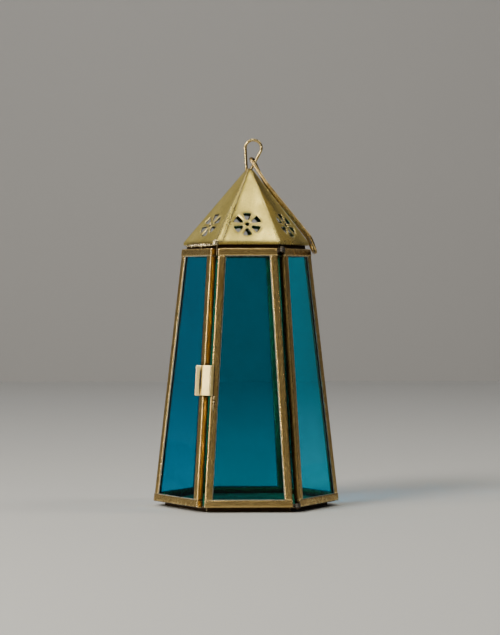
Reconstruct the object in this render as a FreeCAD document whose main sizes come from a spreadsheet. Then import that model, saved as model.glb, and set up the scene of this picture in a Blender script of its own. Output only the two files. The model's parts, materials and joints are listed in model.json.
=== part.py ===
"""Hexagonal tapering brass lantern with teal glass panels, a hinged front door and a pierced roof.

Units are millimetres. +Z is up, the foot stands on Z = 0, and the lantern's axis is the Z axis.
The door faces -Y. Panel 0 is the door, and panels 1 to 5 follow it counterclockwise from above.
"""
import FreeCAD, Part
import math
import os
import Sketcher

doc = FreeCAD.newDocument("Lantern")

# --- Driving dimensions ---------------------------------------------------------------------
# Every size that can be chosen by itself stands here once.

DRIVING = [
    ("base_corner_radius", 64.7, "axis to the sharp corner of the body at the panels' lower edge"),
    ("top_corner_radius", 45.3, "axis to the sharp corner of the body at the panels' upper edge"),
    ("panel_height", 171.0, "vertical height of the six panels"),
    ("foot_height", 3.0, "height of the hexagonal rim under the floor"),
    ("foot_inset", 9.5, "how far the rim's corner stands in from the body's corner"),
    ("rim_wall", 1.0, "sheet of the foot rim"),
    ("floor_sheet", 0.8, "sheet of the floor plate"),
    ("groove", 3.15, "sharp corner to the edge of each panel, in its face"),
    ("strip_face", 5.0, "visible width of the brass channels"),
    ("channel_wall", 0.6, "sheet of the folded channels"),
    ("channel_round", 0.9, "outer bend of the channels"),
    ("channel_lip", 0.25, "rounded lip of the channels beside the glass"),
    ("slot_overrun", 1.0, "how far an open slot is cut past its channel's end"),
    ("glass_sheet", 3.0, "thickness of the glass panes"),
    ("glass_gap", 0.4, "free space between a pane's edge and the bottom of its channel"),
    ("door_gap", 0.5, "free space behind the closed door"),
    ("seam_depth", 2.7, "depth of the solder's face in the corner groove"),
    ("seam_gap", 0.03, "film between the solder and the channels"),
    ("seam_bead", 1.3, "width of the solder bead on each inner face"),
    ("seam_build", 0.8, "thickness of the solder bead inside"),
    ("seam_end", 1.0, "free length between the solder and the collar"),
    ("roof_corner_radius", 42.6, "axis to the roof's corner at the eave"),
    ("roof_rise", 52.6, "eave fold to the roof's sharp tip"),
    ("tip_lean", 2.2, "how far the roof's sharp tip stands to the right of the axis"),
    ("roof_gap", 2.4, "open gap between the panels and the roof's lip"),
    ("roof_lip", 2.0, "height of the folded lip under the eave"),
    ("roof_sheet", 0.7, "sheet of the roof"),
    ("tip_radius", 2.4, "corner radius of the roof's cut tip"),
    ("collar_sheet", 0.8, "sheet of the collar that carries the roof"),
    ("collar_overlap", 5.0, "height of the collar behind the top rails"),
    ("lap_width", 4.5, "width of the roof's lapped seam at the eave"),
    ("lap_sheet", 0.5, "thickness of the roof's lapped seam"),
    ("lap_share", 0.93, "share of the roof's slope that the lapped seam covers"),
    ("lap_taper", 0.15, "width of the lapped seam's top as a share of its width at the eave"),
    ("rosette_height", 14.4, "eave to the rosettes' centres, up the slope"),
    ("stray_aside", 2.2, "how far the right front rosette was punched to the right"),
    ("stray_drop", 0.6, "how far the right front rosette was punched too low"),
    ("petal_outer", 9.3, "rosette's centre to the far end of a petal"),
    ("petal_inner", 3.5, "rosette's centre to the near end of a petal"),
    ("petal_tip", 1.9, "width of a petal at its near end"),
    ("petal_width", 5.9, "width of a petal at its far end"),
    ("rosette_hole", 3.0, "diameter of the rosette's centre hole"),
    ("wire_radius", 1.0, "wire of the hanging eye and of the carrying ring"),
    ("wire_gap", 0.06, "clearance of the eye's legs in the roof's tip"),
    ("eye_radius", 5.45, "centre line radius of the hanging eye"),
    ("eye_offset", 4.85, "lantern's axis to the eye's centre"),
    ("eye_rise", 11.8, "roof's sharp tip to the eye's centre"),
    ("leg_offset", 0.6, "lantern's axis to the foot of the eye's first leg"),
    ("leg_pitch", 2.15, "distance between the feet of the eye's two legs"),
    ("leg_length", 11.3, "roof's sharp tip down to the ends of the eye's legs"),
    ("leg_bend", 4.0, "centre line radius where the second leg turns down"),
    ("leg_bend_drop", 4.5, "roof's sharp tip down to the second leg's bend"),
    ("hook_bend", 2.6, "centre line radius of the carrying ring's bend in the eye"),
    ("hook_offset", 3.6, "lantern's axis to the carrying ring's bend"),
    ("hook_rise", 4.6, "roof's sharp tip to the carrying ring's bend"),
    ("hook_twist", 1.2, "how far the bend's near end stands left of its middle"),
    ("ring_half_width", 16.5, "half of the carrying ring's width between centre lines"),
    ("ring_rest_gap", 0.8, "free space between the resting ring and the body's corner"),
    ("ring_roof_gap", 3.2, "least free space between the resting ring and the eave's corner"),
    ("ring_drop", 2.4, "panels' upper edge down to the resting ring's lower end"),
    ("ring_bend", 7.4, "centre line radius of the carrying ring's lower corners"),
    ("shoulder_rise", 10.0, "carrying ring's lower end up to its shoulders"),
    ("shoulder_inset", 3.8, "carrying ring's lower end in to its shoulders"),
    ("shoulder_bend", 9.0, "centre line radius of the carrying ring's shoulders"),
    ("neck_share", 0.24, "share of the way from the hook to the shoulders where the neck is"),
    ("neck_sag", 3.5, "how far the neck hangs below a straight line"),
    ("neck_bend", 30.0, "centre line radius of the carrying ring's neck"),
    ("pin_radius", 0.8, "hinge pins of the door"),
    ("pin_clearance", 0.05, "radial running clearance of the pins in the door's ears"),
    ("pin_head", 1.5, "radius of the hinge pins' heads"),
    ("pin_head_height", 1.1, "height of the hinge pins' heads"),
    ("pin_head_rim", 0.45, "height of the straight rim of the hinge pins' heads"),
    ("pin_head_top", 0.9, "radius of the flat top of the hinge pins' heads"),
    ("leaf_sheet", 1.2, "thickness of the hinge's lugs and ears"),
    ("leaf_radius", 1.9, "round end of the hinge's lugs and ears"),
    ("leaf_gap", 0.15, "free space between a lug and the ear beside it"),
    ("latch_sheet", 0.7, "sheet of the latch"),
    ("latch_height", 20.0, "height of the latch"),
    ("latch_level", 84.0, "panels' lower edge to the middle of the latch, along the corner"),
    ("latch_gap", 0.4, "free space between the latch and the fixed stile"),
    ("latch_reach", 1.5, "how far the latch's foot reaches onto the door's stile"),
    ("latch_fold", 0.85, "door's edge to the fold of the latch"),
    ("latch_bow", 0.45, "extra height of the latch where it rounds the corner"),
    ("latch_bow_inset", 0.25, "fixed stile's near edge back to the top of the latch's bow"),
    ("latch_cover", 2.1, "how far the latch's flat leaf reaches over the fixed stile"),
    ("latch_dip", 0.1, "depth of the crease beside the finger tab"),
    ("latch_crease", 0.9, "end of the flat leaf to the crease"),
    ("latch_tab", 3.4, "length of the finger tab"),
    ("latch_flare", 42.0, "angle of the finger tab to the panel, in degrees"),
    ("fold_gap", 0.06, "free space in the latch's fold"),
    ("leg_slot_spare", 0.7, "extra length of the tip's slot at both ends on a roof of 45 degrees"),
]

# Sizes that follow from the driving dimensions. Angles are in degrees.
DERIVED = [
    ("lean", "atan((Size.base_corner_radius - Size.top_corner_radius) * cos(30)"
             " / Size.panel_height) / 1 deg"),
    ("slant", "Size.panel_height / cos(lean)"),
    ("edge_lean", "atan((Size.base_corner_radius - Size.top_corner_radius) / 2 / slant) / 1 deg"),
    ("corner_length", "slant / cos(edge_lean)"),
    ("corner_turn", "acos(0.5 + 0.5 * sin(lean) ^ 2) / 1 deg"),
    ("apothem", "Size.base_corner_radius * cos(30)"),
    ("strip_depth", "Size.glass_sheet + 2 * Size.channel_wall"),
    ("lower_edge", "Size.foot_height + strip_depth * sin(lean)"),
    ("upper_edge", "lower_edge + Size.panel_height"),
    ("panel_half_width", "Size.base_corner_radius / 2 - Size.groove / cos(edge_lean)"),
    ("floor_apothem", "apothem - strip_depth * cos(lean)"),
    ("eave", "upper_edge + Size.roof_gap + Size.roof_lip"),
    ("tip", "eave + Size.roof_rise"),
    ("eave_apothem", "Size.roof_corner_radius * cos(30)"),
    ("roof_slant", "sqrt(Size.roof_rise ^ 2 + eave_apothem ^ 2)"),
    ("sheet_drop", "Size.roof_sheet * roof_slant / eave_apothem"),
    ("low_pitch", "atan(Size.roof_rise / (eave_apothem + Size.tip_lean * sin(60))) / 1 deg"),
    ("collar_low", "upper_edge - Size.collar_overlap"),
    ("collar_apothem", "floor_apothem - (collar_low - Size.foot_height) * tan(lean)"),
    ("collar_reach", "eave_apothem - sheet_drop / tan(low_pitch) - collar_apothem"
                     " + (eave - collar_low) / tan(low_pitch)"),
    ("collar_height", "collar_reach / (1 / tan(low_pitch) - tan(lean))"),
    ("ring_low", "upper_edge - Size.ring_drop"),
    ("body_reach", "Size.top_corner_radius - Size.groove / 2 + Size.ring_drop * tan(edge_lean) * 2"),
    ("ring_reach", "max(body_reach + Size.ring_rest_gap; Size.roof_corner_radius + Size.ring_roof_gap)"
                   " + Size.wire_radius"),
]


def fill_sheet(name, rows, mark):
    """A sheet with one named cell in each row."""
    sheet = doc.addObject("Spreadsheet::Sheet", name)
    for row, (alias, content) in enumerate(rows, start=1):
        sheet.set("A%d" % row, alias)
        sheet.set("B%d" % row, mark + str(content))
        sheet.setAlias("B%d" % row, alias)
    return sheet


size = fill_sheet("Size", [(alias, value) for alias, value, note in DRIVING], "")
for row, (alias, value, note) in enumerate(DRIVING, start=1):
    size.set("C%d" % row, note)
fill_sheet("Derived", DERIVED, "=")
doc.recompute()


# --- Frames ---------------------------------------------------------------------------------

def number(expression):
    """The present value of an expression of the sheets' cells."""
    return float(size.evalExpression(expression))


def frame(across, along, up, yaw="0", roll="0"):
    """A placement as an expression: a position, then a turn about Z and a turn about X."""
    return ("create(<<placement>>; create(<<vector>>; %s; %s; %s); create(<<rotation>>; %s; 0; %s))"
            % (across, along, up, yaw, roll))


def panel_frame(index):
    """X runs along the panel's lower outer edge, Y up its face and Z straight out of it."""
    turn = 60 * index
    return frame("Derived.apothem * sin(%d)" % turn, "-Derived.apothem * cos(%d)" % turn,
                 "Derived.lower_edge", str(turn), "90 - Derived.lean")


def roof_frame(index):
    """X runs along the roof's eave, Y up the slope and Z straight out of it."""
    turn = 60 * index
    pitch = "atan(Size.roof_rise / (Derived.eave_apothem - Size.tip_lean * sin(%d))) / 1 deg" % turn
    return frame("Derived.eave_apothem * sin(%d)" % turn, "-Derived.eave_apothem * cos(%d)" % turn,
                 "Derived.eave", str(turn), pitch)


def right_corner_frame(index):
    """Z runs up the sharp corner at the panel's right, X from it into the panel's face, Y out."""
    corner = frame("Size.base_corner_radius / 2", "0", "0", "180 + Derived.edge_lean", "90")
    return panel_frame(index) + " * " + corner


def left_corner_frame(index):
    """Z runs up the sharp corner at the panel's left, X from it into the panel's face, Y in."""
    corner = frame("-Size.base_corner_radius / 2", "0", "0", "-Derived.edge_lean", "-90")
    return panel_frame(index) + " * " + corner


# --- Building blocks ------------------------------------------------------------------------

sub_parts = []


def new_body(name, place=None):
    body = doc.addObject("PartDesign::Body", name)
    body.Label = name
    if place:
        body.setExpression("Placement", place)
    sub_parts.append(body)
    return body


def new_sketch(body, name, role="XY_Plane", place=None):
    """A sketch on one of the body's own origin planes, shifted by place."""
    sketch = body.newObject("Sketcher::SketchObject", name)
    plane = [feature for feature in body.Origin.OriginFeatures if feature.Role == role][0]
    sketch.AttachmentSupport = (plane, [""])
    sketch.MapMode = "FlatFace"
    if place:
        sketch.setExpression("AttachmentOffset", place)
    return sketch


def bind(sketch, kind, arguments, expression):
    """A sketch dimension that follows an expression."""
    value = number(expression)
    index = sketch.addConstraint(Sketcher.Constraint(kind, *arguments, value))
    sketch.setExpression("Constraints[%d]" % index, expression)


def hold(sketch, line, end, across, along):
    """Hold one end of a line at a place given by two expressions."""
    bind(sketch, "DistanceX", (-1, 1, line, end), across)
    bind(sketch, "DistanceY", (-1, 1, line, end), along)


def draw_outline(sketch, corners):
    """A closed outline of straight lines whose corners are pairs of expressions."""
    points = [FreeCAD.Vector(number(across), number(along), 0) for across, along in corners]
    first = sketch.GeometryCount
    count = len(points)
    for index in range(count):
        sketch.addGeometry(Part.LineSegment(points[index], points[(index + 1) % count]), False)
    for index in range(count):
        joint = Sketcher.Constraint("Coincident", first + index, 2, first + (index + 1) % count, 1)
        sketch.addConstraint(joint)
    for index, (across, along) in enumerate(corners):
        hold(sketch, first + index, 1, across, along)


def draw_circle(sketch, radius, across="0", along="0"):
    centre = FreeCAD.Vector(number(across), number(along), 0)
    circle = sketch.addGeometry(Part.Circle(centre, FreeCAD.Vector(0, 0, 1), number(radius)), False)
    hold(sketch, circle, 3, across, along)
    bind(sketch, "Radius", (circle,), radius)


def pad(body, name, sketch, length):
    feature = body.newObject("PartDesign::Pad", name)
    feature.Profile = sketch
    feature.setExpression("Length", length)
    sketch.Visibility = False
    return feature


def pocket(body, name, sketch, length):
    """Cut from the sketch against its normal, and make sure that the cut meets the solid."""
    doc.recompute()
    before = body.Shape.Volume
    feature = body.newObject("PartDesign::Pocket", name)
    feature.Profile = sketch
    feature.setExpression("Length", length)
    doc.recompute()
    if body.Shape.Volume >= before:
        raise RuntimeError("%s of %s cuts nothing" % (name, body.Label))
    return feature


def round_edges(body, name, base, radius, chosen):
    """Fillet the base feature's edges for which chosen is true."""
    doc.recompute()
    edges = base.Shape.Edges
    names = ["Edge%d" % index for index, edge in enumerate(edges, start=1) if chosen(edge)]
    feature = body.newObject("PartDesign::Fillet", name)
    feature.Base = (base, names)
    feature.setExpression("Radius", radius)
    return feature


def hexagon(apothem, setback="0"):
    """Corners of a hexagon with a side facing -Y, which may stand back by a distance."""
    corner = "(%s) / cos(30)" % apothem
    front = "-((%s) - (%s))" % (apothem, setback)
    step = "((%s) / 2 + (%s) * tan(30))" % (corner, setback)
    side = "(%s)" % apothem
    return [(corner, "0"), ("(%s) / 2" % corner, side), ("-(%s) / 2" % corner, side),
            ("-(%s)" % corner, "0"), ("-" + step, front), (step, front)]


def round_leaf(body, level, side):
    """A small plate with a round end on the corner line and a tongue to the panel beside it."""
    place = frame("0", "0", level)
    tongue = new_sketch(body, "Tongue", place=place)
    far_side = "%s * Size.leaf_radius" % side
    draw_outline(tongue, [("0", "0"), ("Size.groove", "0"), ("Size.groove", far_side), ("0", far_side)])
    pad(body, "TonguePad", tongue, "Size.leaf_sheet")
    end = new_sketch(body, "RoundEnd", place=place)
    draw_circle(end, "Size.leaf_radius")
    pad(body, "RoundEndPad", end, "Size.leaf_sheet")


def drill_leaf(body, level, radius):
    hole = new_sketch(body, "PinHole", place=frame("0", "0", level + " + Size.leaf_sheet"))
    draw_circle(hole, radius)
    pocket(body, "PinHolePocket", hole, "Size.leaf_sheet")


# --- Foot, floor and collar -----------------------------------------------------------------

def make_foot_rim():
    """A strip bent into a hexagon, soldered under the floor and set in from the body's edge."""
    body = new_body("foot_rim")
    outer = "(Size.base_corner_radius - Size.foot_inset) * cos(30)"
    outline = new_sketch(body, "Outline")
    draw_outline(outline, hexagon(outer))
    pad(body, "OutlinePad", outline, "Size.foot_height")
    inside = new_sketch(body, "Inside", place=frame("0", "0", "Size.foot_height"))
    draw_outline(inside, hexagon(outer + " - Size.rim_wall"))
    pocket(body, "InsidePocket", inside, "Size.foot_height")


def make_floor_plate():
    """A flat hexagon between the panels' inner faces. Its edges lean as the panels do."""
    body = new_body("floor_plate")
    outline = new_sketch(body, "Outline", place=frame("0", "0", "Size.foot_height"))
    draw_outline(outline, hexagon("Derived.floor_apothem", "Size.door_gap"))
    plate = pad(body, "OutlinePad", outline, "Size.floor_sheet")
    plate.setExpression("TaperAngle", "-Derived.lean")


def make_roof_collar():
    """A leaning strip inside the top rails. The roof sits on its upper edge."""
    body = new_body("roof_collar")
    outline = new_sketch(body, "Outline", place=frame("0", "0", "Derived.collar_low"))
    draw_outline(outline, hexagon("Derived.collar_apothem", "Size.door_gap"))
    block = pad(body, "OutlinePad", outline, "Derived.collar_height")
    block.setExpression("TaperAngle", "-Derived.lean")
    doc.recompute()
    ends = ["Face%d" % index for index, face in enumerate(block.Shape.Faces, start=1)
            if abs(face.normalAt(0, 0).z) > 0.99]
    walls = body.newObject("PartDesign::Thickness", "Walls")
    walls.Base = (block, ends)
    walls.setExpression("Value", "Size.collar_sheet")
    walls.Reversed = True
    walls.Join = 1


# --- Panels ---------------------------------------------------------------------------------

def half_width(level, inset="0"):
    """Half of the panel's width at a level up its face, less an inset square to its edge."""
    return ("(Derived.panel_half_width - (%s) * tan(Derived.edge_lean) - (%s) / cos(Derived.edge_lean))"
            % (level, inset))


def band(low, high, inset="0"):
    """The part of the panel's face between two levels."""
    return [("-" + half_width(low, inset), low), (half_width(low, inset), low),
            (half_width(high, inset), high), ("-" + half_width(high, inset), high)]


def edge_band(side, low, high, outer, inner):
    """A strip along the panel's left or right edge, between two insets from that edge."""
    return [(side + half_width(low, outer), low), (side + half_width(low, inner), low),
            (side + half_width(high, inner), high), (side + half_width(high, outer), high)]


def is_long_front_edge(edge):
    """True for the edges of a channel's visible face that run along the channel."""
    on_face = all(abs(vertex.Point.z) < 1e-6 for vertex in edge.Vertexes)
    return on_face and edge.Length > number("2 * Size.strip_face")


def make_channel(name, place, outline, slot, is_outer):
    """A folded brass channel: a strip with a slot for the glass along its inner side."""
    body = new_body(name, place)
    face = new_sketch(body, "Face", place=frame("0", "0", "-Derived.strip_depth"))
    draw_outline(face, outline)
    pad(body, "FacePad", face, "Derived.strip_depth")
    opening = new_sketch(body, "Slot", place=frame("0", "0", "-Size.channel_wall"))
    draw_outline(opening, slot)
    cut = pocket(body, "SlotPocket", opening, "Size.glass_sheet")
    bend = round_edges(body, "Bend", cut, "Size.channel_round",
                       lambda edge: is_long_front_edge(edge) and is_outer(edge.CenterOfMass))
    round_edges(body, "Lip", bend, "Size.channel_lip",
                lambda edge: is_long_front_edge(edge) and not is_outer(edge.CenterOfMass))


def make_rail(name, place, low, is_outer):
    """A rail runs the panel's full width. Its slot stops short of both ends."""
    high = low + " + Size.strip_face"
    if low == "0":
        slot = band("Size.channel_wall", high + " + Size.slot_overrun", "Size.channel_wall")
    else:
        slot = band(low + " - Size.slot_overrun", high + " - Size.channel_wall", "Size.channel_wall")
    make_channel(name, place, band(low, high), slot, is_outer)


def make_stile(name, place, side):
    """A stile stands between the two rails. Its slot is open at both ends."""
    low = "Size.strip_face"
    high = "(Derived.slant - Size.strip_face)"
    outline = edge_band(side, low, high, "0", "Size.strip_face")
    slot = edge_band(side, low + " - Size.slot_overrun", high + " + Size.slot_overrun",
                     "Size.channel_wall", "Size.strip_face + Size.slot_overrun")
    middle = number(half_width("Derived.slant / 2", "Size.strip_face / 2"))
    make_channel(name, place, outline, slot, lambda point: abs(point.x) > middle)


def make_glass(name, place):
    """A trapezoid pane that stands in the four channels' slots."""
    inset = "(Size.channel_wall + Size.glass_gap)"
    body = new_body(name, place)
    back = frame("0", "0", "-Size.channel_wall - Size.glass_sheet")
    outline = new_sketch(body, "Outline", place=back)
    draw_outline(outline, band(inset, "(Derived.slant - %s)" % inset, inset))
    pad(body, "OutlinePad", outline, "Size.glass_sheet")


def make_panel(name, index):
    place = panel_frame(index)
    low_side = number("Size.strip_face / 2")
    high_side = number("Derived.slant - Size.strip_face / 2")
    make_rail(name + "_rail_bottom", place, "0", lambda point: point.y < low_side)
    make_rail(name + "_rail_top", place, "(Derived.slant - Size.strip_face)",
              lambda point: point.y > high_side)
    make_stile(name + "_stile_left", place, "-")
    make_stile(name + "_stile_right", place, "")
    make_glass(name + "_glass", place)


# --- Solder in the closed corners -----------------------------------------------------------

def mirrored(point):
    """The same place on the other panel, across the corner's bisecting plane."""
    across, along = point
    double = "(180 - Derived.corner_turn)"
    return ("((%s) * cos(%s) - (%s) * sin(%s))" % (across, double, along, double),
            "(-(%s) * sin(%s) - (%s) * cos(%s))" % (across, double, along, double))


def make_corner_seam(name, index):
    """Solder that joins two panels: a wedge in their groove and a flat bead behind them."""
    body = new_body(name, right_corner_frame(index))
    edge = "Size.groove - Size.seam_gap"
    behind = "-(Derived.strip_depth + Size.seam_gap)"
    bead_end = "Size.groove + Size.seam_bead"
    near_side = [(edge, "-Size.seam_depth"), (edge, behind), (bead_end, behind),
                 (bead_end, behind + " - Size.seam_build")]
    far_side = [mirrored(point) for point in reversed(near_side)]
    start = "2 * Size.floor_sheet + Size.seam_build"
    section = new_sketch(body, "Section", place=frame("0", "0", start))
    draw_outline(section, near_side + far_side)
    length = "Derived.corner_length - Size.collar_overlap - Size.seam_end - (%s)" % start
    pad(body, "SectionPad", section, length)


# --- Roof -----------------------------------------------------------------------------------

def draw_petal(sketch, turn, middle_across, middle_along):
    """One punched petal: a wedge with a curved far end. Turn is its direction in degrees."""
    far_reach = "sqrt(Size.petal_outer ^ 2 - (Size.petal_width / 2) ^ 2)"
    places = [("Size.petal_inner", "-Size.petal_tip / 2"), (far_reach, "-Size.petal_width / 2"),
              (far_reach, "Size.petal_width / 2"), ("Size.petal_inner", "Size.petal_tip / 2")]
    corners = []
    for reach, aside in places:
        across = "%s + (%s) * cos(%d) - (%s) * sin(%d)" % (middle_across, reach, turn, aside, turn)
        along = "%s + (%s) * sin(%d) + (%s) * cos(%d)" % (middle_along, reach, turn, aside, turn)
        corners.append((across, along))
    points = [FreeCAD.Vector(number(across), number(along), 0) for across, along in corners]
    centre = FreeCAD.Vector(number(middle_across), number(middle_along), 0)
    outward = FreeCAD.Vector(math.cos(math.radians(turn)), math.sin(math.radians(turn)), 0)
    far_end = centre + outward * number("Size.petal_outer")
    first = sketch.GeometryCount
    sketch.addGeometry(Part.LineSegment(points[0], points[1]), False)
    sketch.addGeometry(Part.Arc(points[1], far_end, points[2]), False)
    sketch.addGeometry(Part.LineSegment(points[2], points[3]), False)
    sketch.addGeometry(Part.LineSegment(points[3], points[0]), False)
    for joint in [(first, 2, first + 1, 1), (first + 1, 2, first + 2, 1),
                  (first + 2, 2, first + 3, 1), (first + 3, 2, first, 1)]:
        sketch.addConstraint(Sketcher.Constraint("Coincident", *joint))
    for line, corner in [(first, 0), (first + 2, 2), (first + 3, 3)]:
        hold(sketch, line, 1, *corners[corner])
    hold(sketch, first, 2, *corners[1])
    bind(sketch, "Radius", (first + 1,), "Size.petal_outer")


def spire_section(body, name, share, drop):
    """The spire's hexagon at a share of its rise, moved straight down by drop."""
    place = frame("Size.tip_lean * " + share, "0", "Derived.eave + Size.roof_rise * %s - %s" % (share, drop))
    section = new_sketch(body, name, place=place)
    draw_outline(section, hexagon("Derived.eave_apothem * (1 - %s)" % share))
    return section


def punch_rosette(body, index, aside, height):
    """Six petals and a hole, punched through one face of the roof."""
    above = roof_frame(index) + " * " + frame("0", "0", "2 * Size.roof_sheet")
    rosette = new_sketch(body, "Rosette", place=above)
    draw_circle(rosette, "Size.rosette_hole / 2", aside, height)
    for petal in range(6):
        draw_petal(rosette, 30 + 60 * petal, aside, height)
    pocket(body, "RosettePocket", rosette, "4 * Size.roof_sheet")


def make_roof():
    """A folded six-sided spire with a lip, a lapped seam beside the door's left ridge and a
    punched rosette in each face. It was folded by hand and its tip leans to the right. The cut
    tip lets the hanging eye's legs through."""
    body = new_body("roof")
    eave = frame("0", "0", "Derived.eave - Size.roof_lip")
    lip = new_sketch(body, "Lip", place=eave)
    draw_outline(lip, hexagon("Derived.eave_apothem"))
    pad(body, "LipPad", lip, "Size.roof_lip")
    cut_share = "(1 - Size.tip_radius / Size.roof_corner_radius)"
    spire = body.newObject("PartDesign::AdditiveLoft", "Spire")
    spire.Profile = spire_section(body, "Eave", "0", "0")
    spire.Sections = [spire_section(body, "Tip", cut_share, "0")]
    spire.Ruled = True
    fold_share = "(Size.roof_sheet / Derived.eave_apothem)"
    fold = spire_section(body, "InnerFold", fold_share, "Derived.sheet_drop")
    pocket(body, "LipPocket", fold, "Size.roof_lip + Size.roof_rise * %s - Derived.sheet_drop" % fold_share)
    inside = body.newObject("PartDesign::SubtractiveLoft", "Inside")
    inside.Profile = fold
    inside.Sections = [spire_section(body, "InnerTip", cut_share, "Derived.sheet_drop")]
    inside.Ruled = True
    doc.recompute()

    lap = new_sketch(body, "Lap", place=roof_frame(0) + " * " + frame("0", "0", "-Size.roof_sheet / 2"))
    lap_top = "(Derived.roof_slant * Size.lap_share)"
    at_eave = "-Size.roof_corner_radius / 2"
    at_top = "(%s * (1 - Size.lap_share) + Size.tip_lean * Size.lap_share)" % at_eave
    draw_outline(lap, [(at_eave, "0"), (at_eave + " + Size.lap_width", "0"),
                       (at_top + " + Size.lap_width * Size.lap_taper", lap_top), (at_top, lap_top)])
    pad(body, "LapPad", lap, "Size.lap_sheet + Size.roof_sheet / 2")

    for index in (0, 2, 3, 4, 5):
        punch_rosette(body, index, "0", "Size.rosette_height")
    punch_rosette(body, 1, "Size.stray_aside", "Size.rosette_height - Size.stray_drop")

    reach = "(Size.wire_radius + Size.wire_gap)"
    spare = "Size.leg_slot_spare * Size.roof_corner_radius / Size.roof_rise"
    legs = new_sketch(body, "LegSlot", place=frame("0", "0", "Derived.tip"))
    left = "Size.leg_offset - %s - %s" % (reach, spare)
    right = "Size.leg_offset + Size.leg_pitch + %s + %s" % (reach, spare)
    draw_outline(legs, [(left, "-" + reach), (right, "-" + reach), (right, reach), (left, reach)])
    pocket(body, "LegSlotPocket", legs, "Size.leg_length")


# --- Hanging eye and carrying ring ----------------------------------------------------------

def make_hanging_eye():
    """One bent wire: a leg out of the roof's tip, a round eye and a second leg back in."""
    body = new_body("hanging_eye")
    path = new_sketch(body, "Path", "XZ_Plane")
    foot_level = "Derived.tip - Size.leg_length"
    bend_level = "Derived.tip - Size.leg_bend_drop"
    second = "Size.leg_offset + Size.leg_pitch"
    eye_level = "Derived.tip + Size.eye_rise"
    centre = FreeCAD.Vector(number("Size.eye_offset"), number(eye_level), 0)
    radius = number("Size.eye_radius")
    low_turn = math.radians(-30)
    high_turn = math.radians(183)
    right = centre + FreeCAD.Vector(math.cos(low_turn), math.sin(low_turn), 0) * radius
    left = centre + FreeCAD.Vector(math.cos(high_turn), math.sin(high_turn), 0) * radius
    bend = number("Size.leg_bend")
    bend_centre = FreeCAD.Vector(number(second) + bend, number(bend_level), 0)
    bend_turn = math.radians(150)
    bend_top = bend_centre + FreeCAD.Vector(math.cos(bend_turn), math.sin(bend_turn), 0) * bend
    bend_foot = bend_centre - FreeCAD.Vector(bend, 0, 0)
    axis = FreeCAD.Vector(0, 0, 1)
    first_foot = FreeCAD.Vector(number("Size.leg_offset"), number(foot_level), 0)
    second_foot = FreeCAD.Vector(number(second), number(foot_level), 0)
    path.addGeometry(Part.LineSegment(first_foot, left), False)
    path.addGeometry(Part.ArcOfCircle(Part.Circle(centre, axis, radius), low_turn, high_turn), False)
    path.addGeometry(Part.LineSegment(right, bend_top), False)
    path.addGeometry(Part.ArcOfCircle(Part.Circle(bend_centre, axis, bend), bend_turn, math.pi), False)
    path.addGeometry(Part.LineSegment(bend_foot, second_foot), False)
    hold(path, 0, 1, "Size.leg_offset", foot_level)
    hold(path, 1, 3, "Size.eye_offset", eye_level)
    hold(path, 4, 1, second, bend_level)
    hold(path, 4, 2, second, foot_level)
    bind(path, "Radius", (1,), "Size.eye_radius")
    bind(path, "Radius", (3,), "Size.leg_bend")
    for touch in [(0, 2, 1, 2), (1, 1, 2, 1), (2, 2, 3, 1), (3, 2, 4, 1)]:
        path.addConstraint(Sketcher.Constraint("Tangent", *touch))
    wire = new_sketch(body, "Wire", place=frame("0", "0", foot_level))
    draw_circle(wire, "Size.wire_radius", "Size.leg_offset")
    doc.recompute()
    pipe = body.newObject("PartDesign::AdditivePipe", "Pipe")
    pipe.Profile = wire
    pipe.Spine = (path, ["Edge%d" % edge for edge in range(1, 6)])


def rounded_path(points, radii):
    """Straight runs through the points, with a tangent arc of its radius at each inner point."""
    edges = []
    start = points[0]
    for index in range(1, len(points) - 1):
        before = (points[index - 1] - points[index]).normalize()
        after = (points[index + 1] - points[index]).normalize()
        half_turn = (math.pi - before.getAngle(after)) / 2
        radius = radii[index - 1]
        run = radius * math.tan(half_turn)
        enter = points[index] + before * run
        leave = points[index] + after * run
        inward = (before + after).normalize()
        middle = points[index] + inward * (radius / math.cos(half_turn) - radius)
        edges.append(Part.LineSegment(start, enter).toShape())
        edges.append(Part.Arc(enter, middle, leave).toShape())
        start = leave
    edges.append(Part.LineSegment(start, points[-1]).toShape())
    return Part.Wire(edges)


def sweep_ring_side(name, side):
    """One half of the carrying ring: from the hook's middle down one side to the lower end."""
    hook = FreeCAD.Vector(number("Size.hook_offset"), 0, number("Derived.tip + Size.hook_rise"))
    bend = number("Size.hook_bend")
    half = number("Size.ring_half_width")
    low = number("Derived.ring_low")
    reach = number("Derived.ring_reach")
    hook_end = hook + FreeCAD.Vector(number("Size.hook_twist"), bend, 0) * side
    shoulder = FreeCAD.Vector(reach - number("Size.shoulder_inset"), side * half,
                              low + number("Size.shoulder_rise"))
    neck = hook + (shoulder - hook) * number("Size.neck_share")
    neck.z = neck.z - number("Size.neck_sag")
    neck.y = side * half / 2
    points = [hook, hook_end, neck, shoulder, FreeCAD.Vector(reach, side * half, low),
              FreeCAD.Vector(reach, 0, low)]
    radii = [bend, number("Size.neck_bend"), number("Size.shoulder_bend"), number("Size.ring_bend")]
    centre_line = doc.addObject("Part::Feature", name + "CentreLine")
    centre_line.Shape = rounded_path(points, radii)
    section = doc.addObject("Part::Circle", name + "Section")
    section.setExpression("Radius", "Size.wire_radius")
    section.Placement = FreeCAD.Placement(hook, FreeCAD.Rotation(FreeCAD.Vector(0, 0, 1), hook_end - hook))
    sweep = doc.addObject("Part::Sweep", name)
    sweep.Sections = [section]
    sweep.Spine = (centre_line, ["Edge%d" % edge for edge in range(1, len(centre_line.Shape.Edges) + 1)])
    sweep.Solid = True
    sweep.Frenet = True
    return sweep


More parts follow.
